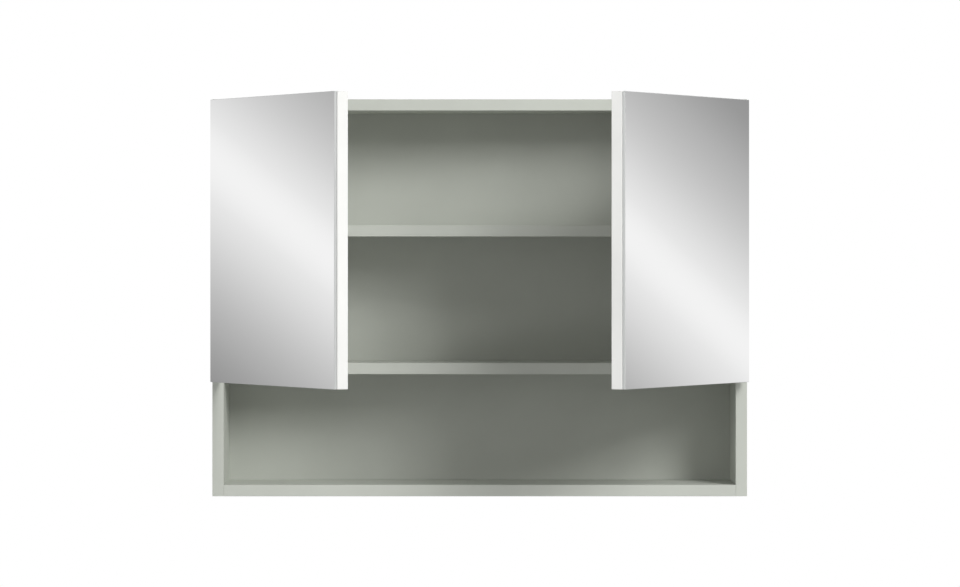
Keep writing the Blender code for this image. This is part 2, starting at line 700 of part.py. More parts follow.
def build_mounting_plate(prefix, side, height):
    """Cross-shaped mounting plate: screw wings on the side panel, and the rail that takes the arm."""
    base = SIDE_FACE + SEAT_GAP
    line = FRONT_LINE + PLATE_SCREW_LINE
    rail_half = ARM_HALF - ARM_SHEET - SEAT_GAP
    start = shut_point(side, (base, line - PLATE_WING_WIDTH / 2))
    end = shut_point(side, (base + RAIL_HEIGHT, line - PLATE_WING_WIDTH / 2 + RAIL_LENGTH))
    rail = block(
        (min(start.x, end.x), start.y, -rail_half), (max(start.x, end.x), end.y, rail_half)
    )
    made = add_object(f"{prefix}_hinge_plate", rail, NICKEL, None, (0, 0, height))
    ends = PLATE_WING_HALF - PLATE_WING_WIDTH / 2
    middle = shut_point(side, (base, line))
    wings = strip(
        [Vector((middle.y, -ends)), Vector((middle.y, ends))], [PLATE_WING_WIDTH / 2] * 2, FINE_CAP_STEPS
    )
    holes = [circle((middle.y, way * PLATE_HOLE_SPACING / 2), SCREW_HOLE_RADIUS) for way in (-1, 1)]
    sheet = side_plate([wings] + holes, side, base, base + PLATE_WING_THICKNESS)
    shape_with(made, sheet, "UNION")


def build_hinged_side(label, side):
    """One door with its two hinges, opened to the rest position."""
    long_turn = -side * LONG_LINK_SHARE * REST_OPENING
    short_turn = -side * SHORT_LINK_SHARE * REST_OPENING
    long_pivot = Pivot(f"{label}_long_link_axis", side, LONG_LINK_ARM_PIN, long_turn)
    short_pivot = Pivot(f"{label}_short_link_axis", side, SHORT_LINK_ARM_PIN, short_turn)
    door_turn = side * (1 + LONG_LINK_SHARE) * REST_OPENING
    door_pivot = Pivot(f"{label}_door_axis", side, LONG_LINK_CUP_PIN, door_turn, long_pivot)
    build_door(label, side, door_pivot)
    for row, height in HINGE_HEIGHTS.items():
        prefix = f"{label}_{row}"
        build_links(prefix, side, height, long_pivot, short_pivot)
        build_cup(prefix, side, height, door_pivot)
        build_arm(prefix, side, height)
        build_mounting_plate(prefix, side, height)


def main():
    boards = build_carcass_boards()
    build_back_panel()
    build_shelf(boards)
    build_hangers()
    for label, side in SIDES.items():
        build_hinged_side(label, side)


main()
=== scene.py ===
"""Looks of the wall-hung mirror cabinet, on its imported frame."""

import math

import bmesh
import bpy
from mathutils import Matrix, Vector


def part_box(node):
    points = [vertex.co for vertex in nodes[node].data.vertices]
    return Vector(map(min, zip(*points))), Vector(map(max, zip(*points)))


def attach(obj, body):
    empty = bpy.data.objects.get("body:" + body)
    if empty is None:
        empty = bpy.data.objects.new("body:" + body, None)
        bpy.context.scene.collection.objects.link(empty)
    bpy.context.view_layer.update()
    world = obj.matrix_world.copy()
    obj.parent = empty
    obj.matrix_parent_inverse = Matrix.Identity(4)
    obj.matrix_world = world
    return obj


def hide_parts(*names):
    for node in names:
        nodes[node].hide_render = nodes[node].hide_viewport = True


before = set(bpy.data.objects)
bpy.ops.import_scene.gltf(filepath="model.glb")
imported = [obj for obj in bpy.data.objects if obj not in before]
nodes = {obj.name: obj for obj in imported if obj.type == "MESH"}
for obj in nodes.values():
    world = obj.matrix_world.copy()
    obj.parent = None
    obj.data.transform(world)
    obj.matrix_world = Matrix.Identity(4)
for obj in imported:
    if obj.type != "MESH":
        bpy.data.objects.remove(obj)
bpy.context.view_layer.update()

# Places shared with the cabinet's solids, in metres
SIDES = {"left": -1, "right": 1}
HALF_WIDTH = 0.400
CARCASS_FRONT = -0.162
SHELF_FRONT = -0.1605
DOOR_FACE = -0.1645
DOOR_REVEAL = 0.0026
DOOR_WIDTH = 0.3964
DOOR_LOW = 0.1715
DOOR_TOP = 0.5925
HINGE_HEIGHTS = {"upper": 0.5125, "lower": 0.2515}

# The doors' opening at rest, and the share of it by which the long links turn
REST_OPENING = math.radians(60.2)
LONG_LINK_SHARE = 0.40

# Points on hinges and doors: across from the door's hinge edge, back from the shut door's inner face
HINGE_EDGE = (0.0, 0.0)
LONG_LINK_ARM_PIN = (0.0443, 0.0101)
LONG_LINK_CUP_PIN = (0.0098, -0.0019)
FLANGE_SEAT = (0.0265, 0.0013)
WING_SEAT = (0.0172, 0.0395)
ARM_SEATS = ((0.0278, 0.0575), (0.0278, 0.0715))
MIRROR_POINT = (0.2, -0.022)

# Butt joints of the carcass: the sides' inner faces, the joints' width, each board's lower and upper face,
# and the glue beads' depth and how far they lie below the surface
SIDE_FACE = 0.383
JOINT = 0.0003
BOARD_FACES = {"top": (0.577, 0.594), "floor": (0.1826, 0.1996), "bottom": (0.0, 0.017)}
BEAD_DEPTH = 0.003
BEAD_FLUSH = 0.00003

# Thin edging glued on the boards' front edges and round the doors, and the width and shade of its glue line
EDGING = 0.0008
EDGING_LINE = 0.00012
EDGING_SHADE = 0.6

# Screws: each pair's spacing, the depth of the hanger screws' seats, the heads' radius and height,
# and the angle from which their edges stay sharp
FLANGE_SPACING = 0.048
WING_SPACING = 0.032
HANGER_SPACING = 0.030
HANGER_RECESS = 0.004
HINGE_SCREW = (0.0033, 0.0016)
HANGER_SCREW = (0.0029, 0.0016)
HEAD_CREASE = math.radians(32)

# A screw head's cross recess, and its dome from the recess out, as shares of the head's radius and height
RECESS_REACH = 0.48
RECESS_DEPTH = 0.62
HEAD_DOME = ((0.62, 0.94), (0.84, 0.7), (1.0, 0.28), (1.0, 0.0))

# Turns of the recesses in radians: at the start, for each hinge, and for each end of a pair
FLANGE_TURN = (0.35, 0.9, 0.6)
WING_TURN = (0.2, 1.1, -0.5)
ARM_TURNS = ((0.15, 1.0, 0.0), (0.7, 1.0, 0.0))
HANGER_TURN = (0.0, 0.0, 0.4)

# Bumpers on the doors' inner faces: radius and height, the dome from the middle out as shares of both,
# the steps round it and the angle from which its edges stay sharp
BUMPER_RADIUS = 0.004
BUMPER_HEIGHT = 0.0018
BUMPER_DOME = ((0.0, 1.0), (0.52, 0.93), (0.83, 0.7), (1.0, 0.3), (1.0, 0.0), (0.0, 0.0))
BUMPER_STEPS = 32
BUMPER_CREASE = math.radians(50)

# Points closer than this are one point, and faces that meet at less than this angle are one face
MERGE = 1e-6
FLAT = 0.01

# Directions that the edging's lines and the wall's height are measured along
DEPTHWISE = (0.0, 1.0, 0.0)
UPWARD = (0.0, 0.0, 1.0)

# Camera: its place in metres, sensor width and focal length in millimetres, and the frame's shift
CAMERA_PLACE = (0.0, -6.382, 0.365)
SENSOR_WIDTH = 36.0
FOCAL_LENGTH = 155.9
FRAME_SHIFT = (0.0003, -0.0429)
VIEW_END = 60.0

# Even light from all round and the white seen there, and soft boxes: place, target, width and height in
# metres, power in watts, and whether gloss shows them
EVEN_LIGHT = 0.315
SEEN_WHITE = 1.0
LAMPS = {
    "key": ((2.45, -3.7, 2.6), (0.0, -0.1, 0.25), (1.6, 2.2), 169.0, False),
    "key_middle": ((2.43, -3.66, 2.58), (0.0, -0.1, 0.25), (0.6, 0.8), 20.0, True),
    "left_fill": ((-4.0, -2.4, 1.0), (0.0, -0.2, 0.3), (1.5, 1.5), 47.0, True),
    "rear_fill": ((-0.8, 4.2, 1.0), (0.0, 0.0, 0.3), (2.2, 1.4), 120.0, False),
}

# Studio floor, with its greys as lit and as seen, and the round wall, with its brightness at the foot
FLOOR_RADIUS = 9.0
FLOOR_LEVEL = -0.75
FLOOR_LIT = (0.45, 0.45, 0.45)
FLOOR_SEEN = (0.80, 0.80, 0.80)
WALL_HEIGHT = 7.0
WALL_FOOT = 0.8
ROUND_STEPS = 64

# Wide soft bands over floor and wall for the mirrors: the way they follow each other, period and start
BANDS_WAY = (0.62, 0.45, 0.64)
BANDS_PERIOD = 2.5
BANDS_START = 1.1

# Cards that the mirrors show at rest: how far behind the cabinet their images stand, half their size, where
# they fade out, and for each the image's middle, the way its bright band runs and half the band's width
CARD_DEPTH = 0.45
CARD_HALF = 1.1
CARD_FADE = (0.55, 1.05)
CARDS = {
    "left": ((-0.3355, 0.4316), (0.774, -0.634), 0.42),
    "right": ((0.34, 0.302), (0.728, -0.686), 0.40),
}

# Grey levels across a card's band, as pairs of place and level
BAND_LEVELS = (
    (0.0, 0.22), (0.16, 0.31), (0.24, 0.42), (0.34, 0.63), (0.44, 0.87), (0.50, 0.99),
    (0.56, 0.87), (0.66, 0.62), (0.76, 0.46), (0.84, 0.335), (1.0, 0.24),
)

# Sockets of a colour Mix node
MIX_SHARE = 0
MIX_FIRST = 6
MIX_SECOND = 7
MIX_RESULT = 2


def shade(colour, factor):
    return tuple(part * factor for part in colour)


class Nodes:
    """An emptied node tree and short ways to add to it."""

    def __init__(self, tree):
        self.tree = tree
        self.tree.nodes.clear()

    def node(self, kind, **values):
        made = self.tree.nodes.new(kind)
        for key, value in values.items():
            setattr(made, key, value)
        return made

    def link(self, start, end):
        self.tree.links.new(start, end)

    def feed(self, made, terms):
        """Set a node's inputs in turn, each to a plain value or to another node's output."""
        for socket, term in zip(made.inputs, terms):
            if isinstance(term, bpy.types.NodeSocket):
                self.link(term, socket)
            else:
                socket.default_value = term

    def calculate(self, operation, *terms):
        """A number worked out from values and outputs."""
        made = self.node("ShaderNodeMath", operation=operation)
        self.feed(made, terms)
        return made.outputs[0]

    def measure(self, operation, *terms):
        """A length or a dot product of vectors."""
        made = self.node("ShaderNodeVectorMath", operation=operation)
        self.feed(made, terms)
        return made.outputs["Value"]

    def span(self, source, low, high, start=0.3, end=0.7):
        """Map start to end, by default most of a noise's range, onto low to high."""
        made = self.node("ShaderNodeMapRange")
        made.inputs["From Min"].default_value = start
        made.inputs["From Max"].default_value = end
        made.inputs["To Min"].default_value = low
        made.inputs["To Max"].default_value = high
        self.link(source, made.inputs["Value"])
        return made.outputs["Result"]

    def blend(self, share, first, second):
        """One shader where a share is 0, another where it is 1."""
        made = self.node("ShaderNodeMixShader")
        self.feed(made, (share, first, second))
        return made.outputs[0]


class Look(Nodes):
    """A material, with the coordinates that its patterns read."""

    def __init__(self, name):
        self.material = bpy.data.materials.new(name)
        self.material.use_nodes = True
        super().__init__(self.material.node_tree)
        self.place = self.node("ShaderNodeTexCoord").outputs["Object"]
        self.output = self.node("ShaderNodeOutputMaterial").inputs["Surface"]

    def along(self, direction):
        """How far a point lies along a direction."""
        return self.measure("DOT_PRODUCT", self.place, direction)

    def glow(self, level):
        """A shader that gives off a level of light."""
        made = self.node("ShaderNodeEmission")
        self.link(level, made.inputs["Color"])
        return made.outputs[0]

    def ramp(self, source, stops):
        """Grey steps along a value, given as pairs of place and level."""
        made = self.node("ShaderNodeValToRGB")
        made.color_ramp.interpolation = "B_SPLINE"
        steps = made.color_ramp.elements
        while len(steps) < len(stops):
            steps.new(0.5)
        for step, (place, level) in zip(steps, stops):
            step.position = place
            step.color = (level, level, level, 1.0)
        self.link(source, made.inputs["Fac"])
        return made.outputs["Color"]

    def surface(self, shader):
        self.link(shader, self.output)


class Finish(Look):
    """A Principled material."""

    def __init__(self, name, colour, roughness, metallic=0.0):
        super().__init__(name)
        self.shader = self.node("ShaderNodeBsdfPrincipled")
        self.shader.inputs["Base Color"].default_value = (*colour, 1.0)
        self.shader.inputs["Roughness"].default_value = roughness
        self.shader.inputs["Metallic"].default_value = metallic
        self.surface(self.shader.outputs["BSDF"])

    def noise(self, scale, detail=3.0, roughness=0.5, stretch=None):
        made = self.node("ShaderNodeTexNoise")
        made.inputs["Scale"].default_value = scale
        made.inputs["Detail"].default_value = detail
        made.inputs["Roughness"].default_value = roughness
        source = self.place
        if stretch:
            mapping = self.node("ShaderNodeMapping")
            mapping.inputs["Scale"].default_value = stretch
            self.link(self.place, mapping.inputs["Vector"])
            source = mapping.outputs["Vector"]
        self.link(source, made.inputs["Vector"])
        return made.outputs["Fac"]

    def tint(self, share, first, second):
        """One plain colour where a share is 0, another where it is 1."""
        made = self.node("ShaderNodeMix", data_type="RGBA")
        made.inputs[MIX_FIRST].default_value = (*first, 1.0)
        made.inputs[MIX_SECOND].default_value = (*second, 1.0)
        self.link(share, made.inputs[MIX_SHARE])
        return made.outputs[MIX_RESULT]

    def drift(self, colour, source, dark, light):
        """A colour that drifts with a noise between a darker and a lighter shade."""
        share = self.span(source, low=0.0, high=1.0)
        return self.tint(share, shade(colour, dark), shade(colour, light))

    def over(self, tone, share, colour):
        """A plain colour laid over a tone where a share is 1."""
        made = self.node("ShaderNodeMix", data_type="RGBA")
        made.inputs[MIX_SECOND].default_value = (*colour, 1.0)
        self.link(tone, made.inputs[MIX_FIRST])
        self.link(share, made.inputs[MIX_SHARE])
        return made.outputs[MIX_RESULT]

    def stripe(self, source, middle, width):
        """1 on a thin line where a value passes its middle, 0 elsewhere."""
        apart = self.calculate("ABSOLUTE", self.calculate("SUBTRACT", source, middle))
        return self.span(apart, low=1.0, high=0.0, start=0.5 * width, end=width)

    def colour(self, source):
        self.link(source, self.shader.inputs["Base Color"])

    def roughness(self, source):
        self.link(source, self.shader.inputs["Roughness"])

    def bump(self, source, strength, distance):
        made = self.node("ShaderNodeBump")
        made.inputs["Strength"].default_value = strength
        made.inputs["Distance"].default_value = distance
        self.link(source, made.inputs["Height"])
        self.link(made.outputs["Normal"], self.shader.inputs["Normal"])


def laminate(name, colour, roughness, edgings=()):
    """Matt melamine-faced board: faint cloudiness, a fine pebbled press texture and glue lines.

    Each edging is a direction and how far along it the glue line lies.
    """
    made = Finish(name, colour, roughness)
    made.shader.inputs["Specular IOR Level"].default_value = 0.32
    tone = made.drift(colour, made.noise(scale=9.0, detail=4.0), dark=0.965, light=1.03)
    for direction, place in edgings:
        line = made.stripe(made.along(direction), middle=place, width=EDGING_LINE)
        tone = made.over(tone, line, shade(colour, EDGING_SHADE))
    made.colour(tone)
    gloss = made.noise(scale=160.0, detail=2.0)
    made.roughness(made.span(gloss, low=roughness - 0.06, high=roughness + 0.06))
    made.bump(made.noise(scale=1400.0, detail=2.0), strength=0.12, distance=0.0002)
    return made.material


def plated(name, colour, roughness):
    """Plated pressed steel with faint rolling marks."""
    made = Finish(name, colour, roughness, metallic=1.0)
    marks = made.noise(scale=700.0, detail=3.0, roughness=0.6, stretch=(1.0, 1.0, 0.15))
    made.roughness(made.span(marks, low=roughness - 0.04, high=roughness + 0.06))
    made.colour(made.drift(colour, made.noise(scale=60.0), dark=0.96, light=1.03))
    made.bump(marks, strength=0.025, distance=0.0001)
    return made.material


def silvering():
    """The mirrors' silver, clean and nearly even."""
    made = Finish("mirror_silver", colour=(0.933, 0.933, 0.933), roughness=0.02, metallic=1.0)
    made.roughness(made.span(made.noise(scale=12.0, detail=2.0), low=0.012, high=0.03))
    return made.material


def glass_edge():
    """Ground glass, with the grinding's fine streaks."""
    made = Finish("ground_glass_edge", colour=(0.55, 0.563, 0.555), roughness=0.3)
    streak = made.noise(scale=300.0, detail=2.0, stretch=(1.0, 1.0, 0.05))
    share = made.span(streak, low=0.0, high=1.0)
    made.colour(made.tint(share, first=(0.536, 0.549, 0.541), second=(0.566, 0.58, 0.571)))
    made.roughness(made.span(streak, low=0.25, high=0.37))
    return made.material


def moulded(name, colour, roughness):
    """Plastic with a fine moulded texture."""
    made = Finish(name, colour, roughness)
    made.roughness(made.span(made.noise(scale=220.0), low=roughness - 0.05, high=roughness + 0.08))
    made.bump(made.noise(scale=1800.0, detail=2.0), strength=0.08, distance=0.0001)
    return made.material


def beech():
    """Beech with its grain along the dowels."""
    made = Finish("beech", colour=(0.56, 0.40, 0.25), roughness=0.7)
    grain = made.noise(scale=500.0, detail=4.0, roughness=0.6, stretch=(0.05, 1.0, 1.0))
    share = made.span(grain, low=0.0, high=1.0)
    made.colour(made.tint(share, first=(0.47, 0.32, 0.19), second=(0.62, 0.46, 0.30)))
    made.bump(grain, strength=0.2, distance=0.0002)
    return made.material


SAGE_COLOUR = (0.535, 0.555, 0.505)
# Share by which the back panel's sage is darkened: painted shade for the insides of the compartments, where
# the back panel lies
BACK_PAINTED_SHADE = 0.91
WHITE_COLOUR = (0.88, 0.88, 0.857)
CARCASS_EDGING = (DEPTHWISE, CARCASS_FRONT + EDGING)
SHELF_EDGING = (DEPTHWISE, SHELF_FRONT + EDGING)
SAGE = laminate("sage_laminate", SAGE_COLOUR, roughness=0.5, edgings=[CARCASS_EDGING])
SAGE_SHELF = laminate("sage_shelf_laminate", SAGE_COLOUR, roughness=0.5, edgings=[SHELF_EDGING])
# The back panel, in the sage darkened by painted shade
SAGE_BACK = laminate("sage_back_foil_painted_shade", shade(SAGE_COLOUR, BACK_PAINTED_SHADE), roughness=0.58)
NICKEL = plated("nickel_plate", colour=(0.66, 0.65, 0.62), roughness=0.26)
ZINC = plated("zinc_plate", colour=(0.55, 0.56, 0.58), roughness=0.38)
SILVER = silvering()
GLASS_EDGE = glass_edge()
FILM = moulded("mirror_film", colour=(0.76, 0.765, 0.755), roughness=0.6)
HANGER_PLASTIC = moulded("white_plastic", colour=(0.80, 0.80, 0.78), roughness=0.45)
BUMPER_PLASTIC = moulded("soft_bumper", colour=(0.75, 0.76, 0.74), roughness=0.3)
BEECH = beech()

# Finishes of the carried-over solids, by a part of their names; the doors and the panes get theirs below
LOOKS = {
    "side_panel": SAGE,
    "top_panel": SAGE,
    "bottom_panel": SAGE,
    "compartment_floor": SAGE,
    "adjustable_shelf": SAGE_SHELF,
    "back_panel": SAGE_BACK,
    "mirror_film": FILM,
    "bumper": BUMPER_PLASTIC,
    "dowel": BEECH,
    "shelf_pin": NICKEL,
    "hinge": NICKEL,
    "link": NICKEL,
    "hanger_housing": HANGER_PLASTIC,
    "hanger_hook": ZINC,
}


def dress(node, look):
    node.data.materials.clear()
    node.data.materials.append(look)


def dress_nodes():
    """Give the carried-over solids their finishes."""
    for name, node in nodes.items():
        look = next((LOOKS[key] for key in LOOKS if key in name), None)
        if look:
            dress(node, look)


def link_mesh(name, shape, looks):
    """A new object from a bmesh, with its finishes."""
    mesh = bpy.data.meshes.new(name)
    shape.to_mesh(mesh)
    shape.free()
    for look in looks:
        mesh.materials.append(look)
    made = bpy.data.objects.new(name, mesh)
    bpy.context.scene.collection.objects.link(made)
    return made


def add_piece(name, shape, looks, body):
    """A new piece of the cabinet, riding on a body."""
    made = link_mesh(name, shape, looks)
    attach(made, body)
    return made


def smooth(piece, crease):
    """Shade a piece as round, apart from edges sharper than a crease."""
    piece.data.shade_smooth()
    piece.data.set_sharp_from_angle(angle=crease)


def shut_point(side, point, height=0.0):
    """Where a point of a hinge or door lies while the door is shut."""
    across, back = point
    return Vector((side * (HALF_WIDTH - DOOR_REVEAL - across), DOOR_FACE + back, height))


def turn_about(point, angle):
    return Matrix.Translation(point) @ Matrix.Rotation(angle, 4, "Z") @ Matrix.Translation(-point)


def door_turn(side):
    """From the shut door's place to its place at rest."""
    swing = turn_about(shut_point(side, LONG_LINK_ARM_PIN), -side * LONG_LINK_SHARE * REST_OPENING)
    fold = turn_about(shut_point(side, LONG_LINK_CUP_PIN), side * (1 + LONG_LINK_SHARE) * REST_OPENING)
    return swing @ fold


def facing(way):
    """The turn that points the Z axis along a way."""
    return Vector(way).to_track_quat("Z", "Y").to_matrix().to_4x4()


def fill_joints():
    """Glue beads, flush in the carcass's butt joints, along the edges that can be seen."""
    shape = bmesh.new()
    front = CARCASS_FRONT + BEAD_FLUSH
    rear = -BEAD_FLUSH
    inner_front = front + BEAD_DEPTH
    inner_rear = rear - BEAD_DEPTH
    between = (inner_front + BEAD_FLUSH, inner_rear - BEAD_FLUSH)
    floor_low, floor_high = BOARD_FACES["floor"]
    for board_low, board_high in BOARD_FACES.values():
        low = board_low + BEAD_FLUSH
        high = board_high - BEAD_FLUSH
        # The top's upper face and the bottom's underside show too, so joints are filled along them as well
        runs = [(front, inner_front, low, high), (inner_rear, rear, low, high)]
        if high > floor_high:
            runs.append((*between, high - BEAD_DEPTH, high))
        if low < floor_low:
            runs.append((*between, low, low + BEAD_DEPTH))
        for side in SIDES.values():
            for start, end, bottom, top in runs:
                bead = bmesh.ops.create_cube(shape, size=1.0)["verts"]
                bmesh.ops.scale(shape, vec=(JOINT, end - start, top - bottom), verts=bead)
                middle = Vector((side * (SIDE_FACE - JOINT / 2), (start + end) / 2, (bottom + top) / 2))
                bmesh.ops.translate(shape, vec=middle, verts=bead)
    add_piece("carcass_joint_beads", shape, [SAGE], "carcass")


def make_mirror(label):
    """The pane: silvered faces, and ground edges with a fine arris."""
    shape = bmesh.new()
    shape.from_mesh(nodes[f"{label}_mirror"].data)
    bmesh.ops.remove_doubles(shape, verts=shape.verts, dist=MERGE)
    bmesh.ops.dissolve_limit(shape, angle_limit=FLAT, verts=shape.verts, edges=shape.edges)
    broad = max(face.calc_area() for face in shape.faces)
    for face in shape.faces:
        face.material_index = 0 if face.calc_area() > broad / 2 else 1
    pane = add_piece(f"{label}_mirror_pane", shape, [SILVER, GLASS_EDGE], f"{label}_door")
    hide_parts(f"{label}_mirror")


def dress_door(label, side):
    """Off-white laminate with edging round all four edges."""
    turn = door_turn(side)
    across = (turn.to_3x3() @ Vector((-side, 0, 0))).normalized()
    start = across.dot(turn @ shut_point(side, HINGE_EDGE))
    edgings = [
        (across, start + EDGING), (across, start + DOOR_WIDTH - EDGING),
        (UPWARD, DOOR_LOW + EDGING), (UPWARD, DOOR_TOP - EDGING),
    ]
    look = laminate(f"{label}_door_laminate", WHITE_COLOUR, roughness=0.42, edgings=edgings)
    dress(nodes[f"{label}_door_panel"], look)


def screw_head(name, radius, height):
    """A domed screw head with a cross recess, its seat at the origin and its dome up."""
    shape = bmesh.new()
    reach = RECESS_REACH * radius
    depth = RECESS_DEPTH * height
    bmesh.ops.create_grid(shape, x_segments=3, y_segments=3, size=reach)
    corners = []
    for face in shape.faces:
        middle = face.calc_center_median()
        if min(abs(middle.x), abs(middle.y)) > reach / 3:
            corners.append(face)
    bmesh.ops.delete(shape, geom=corners, context="FACES")
    bmesh.ops.translate(shape, vec=(0, 0, height - depth), verts=shape.verts)
    cross = [edge for edge in shape.edges if edge.is_boundary]
    walls = bmesh.ops.extrude_edge_only(shape, edges=cross)["geom"]
    raised = [item for item in walls if isinstance(item, bmesh.types.BMVert)]
    bmesh.ops.translate(shape, vec=(0, 0, depth), verts=raised)
    rim = [item for item in walls if isinstance(item, bmesh.types.BMEdge) and item.is_boundary]
    bmesh.ops.subdivide_edges(shape, edges=rim, cuts=1)
    loop = [edge for edge in shape.edges if edge.is_boundary]
    for out, up in HEAD_DOME:
        ring = bmesh.ops.create_circle(shape, segments=2 * len(rim), radius=out * radius)["verts"]
        bmesh.ops.translate(shape, vec=(0, 0, up * height), verts=ring)
        edges = [edge for edge in shape.edges if edge.is_wire]
        bmesh.ops.bridge_loops(shape, edges=loop + edges)
        loop = edges
    bmesh.ops.edgeloop_fill(shape, edges=loop)
    bmesh.ops.recalc_face_normals(shape, faces=shape.faces)
    mesh = bpy.data.meshes.new(name)
    shape.to_mesh(mesh)
    shape.free()
    return mesh


def add_screws(name, head, places, body):
    """A set of screws as one piece.

    Each place is a seat, the way its head faces and the turn of its recess.
    """
    shape = bmesh.new()
    for seat, way, turn in places:
        mesh = head.copy()
        mesh.transform(Matrix.Translation(seat) @ facing(way) @ Matrix.Rotation(turn, 4, "Z"))
        shape.from_mesh(mesh)
        bpy.data.meshes.remove(mesh)
    smooth(add_piece(name, shape, [NICKEL], body), HEAD_CREASE)


def recess_turn(turns, hinge, end):
    """How far a screw's recess is turned, by its hinge and its end of a pair."""
    start, per_hinge, per_end = turns
    return start + per_hinge * hinge + per_end * end


def fit_screws(label, side):
    """Flange screws on the door; wing, arm and hanger screws on the carcass."""
    turn = door_turn(side)
    inward = turn.to_3x3() @ Vector((0, 1, 0))
    across = Vector((-side, 0, 0))
    on_door = []
    on_carcass = []
    for hinge, height in enumerate(HINGE_HEIGHTS.values()):
        for end in (-1, 1):
            place = shut_point(side, FLANGE_SEAT, height + end * FLANGE_SPACING / 2)
            on_door.append((turn @ place, inward, recess_turn(FLANGE_TURN, hinge, end)))
            place = shut_point(side, WING_SEAT, height + end * WING_SPACING / 2)
            on_carcass.append((place, across, recess_turn(WING_TURN, hinge, end)))
        for seat, turns in zip(ARM_SEATS, ARM_TURNS):
            on_carcass.append((shut_point(side, seat, height), across, recess_turn(turns, hinge, 0)))
    low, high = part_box(f"{label}_hanger_housing")
    middle = (low + high) / 2
    in_hanger = []
    for end in (-1, 1):
        place = Vector((middle.x, low.y + HANGER_RECESS, middle.z + end * HANGER_SPACING / 2))
        in_hanger.append((place, Vector((0, -1, 0)), recess_turn(HANGER_TURN, 0, end)))
    head = screw_head("hinge_screw", *HINGE_SCREW)
    small = screw_head("hanger_screw", *HANGER_SCREW)
    add_screws(f"{label}_flange_screws", head, on_door, f"{label}_door")
    add_screws(f"{label}_mounting_screws", head, on_carcass, "carcass")
    add_screws(f"{label}_hanger_screws", small, in_hanger, "carcass")
    for mesh in (head, small):
        bpy.data.meshes.remove(mesh)


def round_bumpers(label, side):
    """Soft domed bumpers in the door's free corners, in place of the plain discs."""
    inward = (door_turn(side).to_3x3() @ Vector((0, 1, 0))).normalized()
    for row in HINGE_HEIGHTS:
        low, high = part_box(f"{label}_{row}_bumper")
        seat = (low + high) / 2 - inward * BUMPER_HEIGHT / 2
        shape = bmesh.new()
        points = []
        for out, up in BUMPER_DOME:
            points.append(shape.verts.new((out * BUMPER_RADIUS, 0.0, up * BUMPER_HEIGHT)))
        lines = [shape.edges.new(pair) for pair in zip(points, points[1:])]
        bmesh.ops.spin(
            shape, geom=points + lines, cent=(0, 0, 0), axis=(0, 0, 1),
            angle=2 * math.pi, steps=BUMPER_STEPS, use_merge=True,
        )
        bmesh.ops.remove_doubles(shape, verts=shape.verts, dist=MERGE)
        bmesh.ops.recalc_face_normals(shape, faces=shape.faces)
        bmesh.ops.transform(shape, matrix=Matrix.Translation(seat) @ facing(inward), verts=shape.verts)
        dome = add_piece(f"{label}_{row}_bumper_dome", shape, [BUMPER_PLASTIC], f"{label}_door")
        smooth(dome, BUMPER_CREASE)
        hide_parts(f"{label}_{row}_bumper")


def add_camera():
    lens = bpy.data.cameras.new("camera")
    lens.sensor_width = SENSOR_WIDTH
    lens.lens = FOCAL_LENGTH
    lens.shift_x, lens.shift_y = FRAME_SHIFT
    lens.clip_end = VIEW_END
    made = bpy.data.objects.new("camera", lens)
    made.location = CAMERA_PLACE
    made.rotation_euler = (math.pi / 2, 0.0, 0.0)
    bpy.context.scene.collection.objects.link(made)
    bpy.context.scene.camera = made


def add_lamp(name, place, target, size, power, mirrored):
    """A soft box, which gloss may show."""
    lamp = bpy.data.lights.new(name, "AREA")
    lamp.shape = "RECTANGLE"
    lamp.size, lamp.size_y = size
    lamp.energy = power
    made = bpy.data.objects.new(name, lamp)
    made.location = place
    made.rotation_euler = (Vector(target) - Vector(place)).to_track_quat("-Z", "Y").to_euler()
    made.visible_glossy = mirrored
    bpy.context.scene.collection.objects.link(made)


def add_world():
    """Even soft light, and a white background for the camera and for reflections."""
    world = bpy.data.worlds.new("studio")
    bpy.context.scene.world = world
    world.use_nodes = True
    sky = Nodes(world.node_tree)
    rays = sky.node("ShaderNodeLightPath").outputs
    seen = sky.calculate("MAXIMUM", rays["Is Camera Ray"], rays["Is Glossy Ray"])
    seen = sky.calculate("MAXIMUM", seen, rays["Is Transmission Ray"])
    lights = []
    for strength in (EVEN_LIGHT, SEEN_WHITE):
        light = sky.node("ShaderNodeBackground")
        light.inputs["Color"].default_value = (1.0, 1.0, 1.0, 1.0)
        light.inputs["Strength"].default_value = strength
        lights.append(light.outputs[0])
    sky.link(sky.blend(seen, *lights), sky.node("ShaderNodeOutputWorld").inputs["Surface"])


def add_stage(name, shape, look, mirrors_only=False):
    """A part of the studio, which gloss and the mirrors alone may show."""
    made = link_mesh(name, shape, [look])
    if mirrors_only:
        made.visible_camera = False
        made.visible_diffuse = False
        made.visible_shadow = False


def soft_bands(look):
    """A slanting wave from -1 to 1, for the wide soft bands that the mirrors show of the studio."""
    way = look.along(BANDS_WAY)
    phase = look.calculate("MULTIPLY_ADD", way, 2 * math.pi / BANDS_PERIOD, BANDS_START)
    return look.calculate("SINE", phase)


